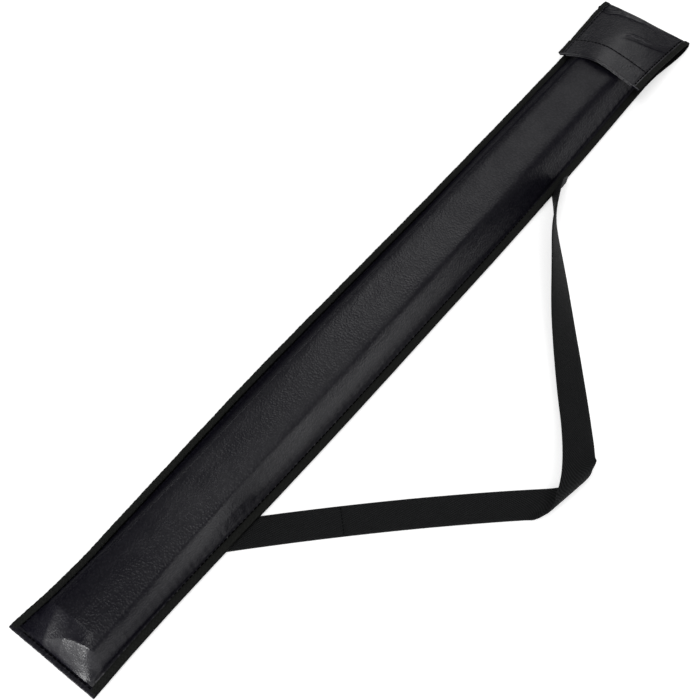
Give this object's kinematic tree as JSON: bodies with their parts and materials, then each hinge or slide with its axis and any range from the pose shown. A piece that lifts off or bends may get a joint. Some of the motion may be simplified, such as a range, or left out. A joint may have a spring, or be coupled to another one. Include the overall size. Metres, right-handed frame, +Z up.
{
  "type": "drawing tube sling case",
  "caption": "Slim flat-tube sling case in soft leatherette over a stiff lined tube, with bound edges, a fold-over flap and a webbing shoulder strap.",
  "frame": {"origin": "middle of the case's length and width, without its strap, on the surface that its back lies on", "axes": "+X along the case towards the flap, +Y across it to its left side, +Z up from the back panel to the front panel"},
  "size_m": [0.7809, 0.2602, 0.0386],
  "materials": {
    "leatherette": "satin",
    "binding_tape": "matte",
    "thread": "satin",
    "foam": "matte",
    "lining": "matte",
    "board": "matte",
    "plug": "matte",
    "fastener": "matte",
    "webbing": "matte",
    "backing": "satin"
  },
  "bodies": {
    "case": {"back_panel": "leatherette", "back_tongue": "leatherette", "tongue_lining": "lining", "front_panel": "leatherette", "front_padding": "foam", "back_padding": "foam", "stiff_tube": "board", "tube_lining": "lining", "tube_end_plug": "plug", "bottom_hem": "leatherette", "mouth_hem": "lining", "loop_strip": "fastener", "side_binding_left": "binding_tape", "side_stitches_left": "thread", "tongue_binding_left": "binding_tape", "side_binding_right": "binding_tape", "side_stitches_right": "thread", "tongue_binding_right": "binding_tape", "bottom_stitches": "thread", "shoulder_strap": "webbing", "strap_splice_stitches": "thread", "strap_backing_lower": "backing", "strap_stitches_lower": "thread", "strap_backing_upper": "backing", "strap_stitches_upper": "thread"},
    "flap": {"flap_binding_left": "binding_tape", "flap_stitches_left": "thread", "flap_binding_right": "binding_tape", "flap_stitches_right": "thread", "flap_shell": "leatherette", "flap_lining": "lining", "flap_hem": "leatherette", "hook_strip": "fastener", "flap_hem_stitches": "thread"}
  },
  "joints": [
    {"name": "flap_fold", "type": "hinge", "parent": "case", "child": "flap", "pos_m": [0.3892, 0, 0.013], "axis": [0, 1, 0], "range_deg": [0, 150]}
  ]
}
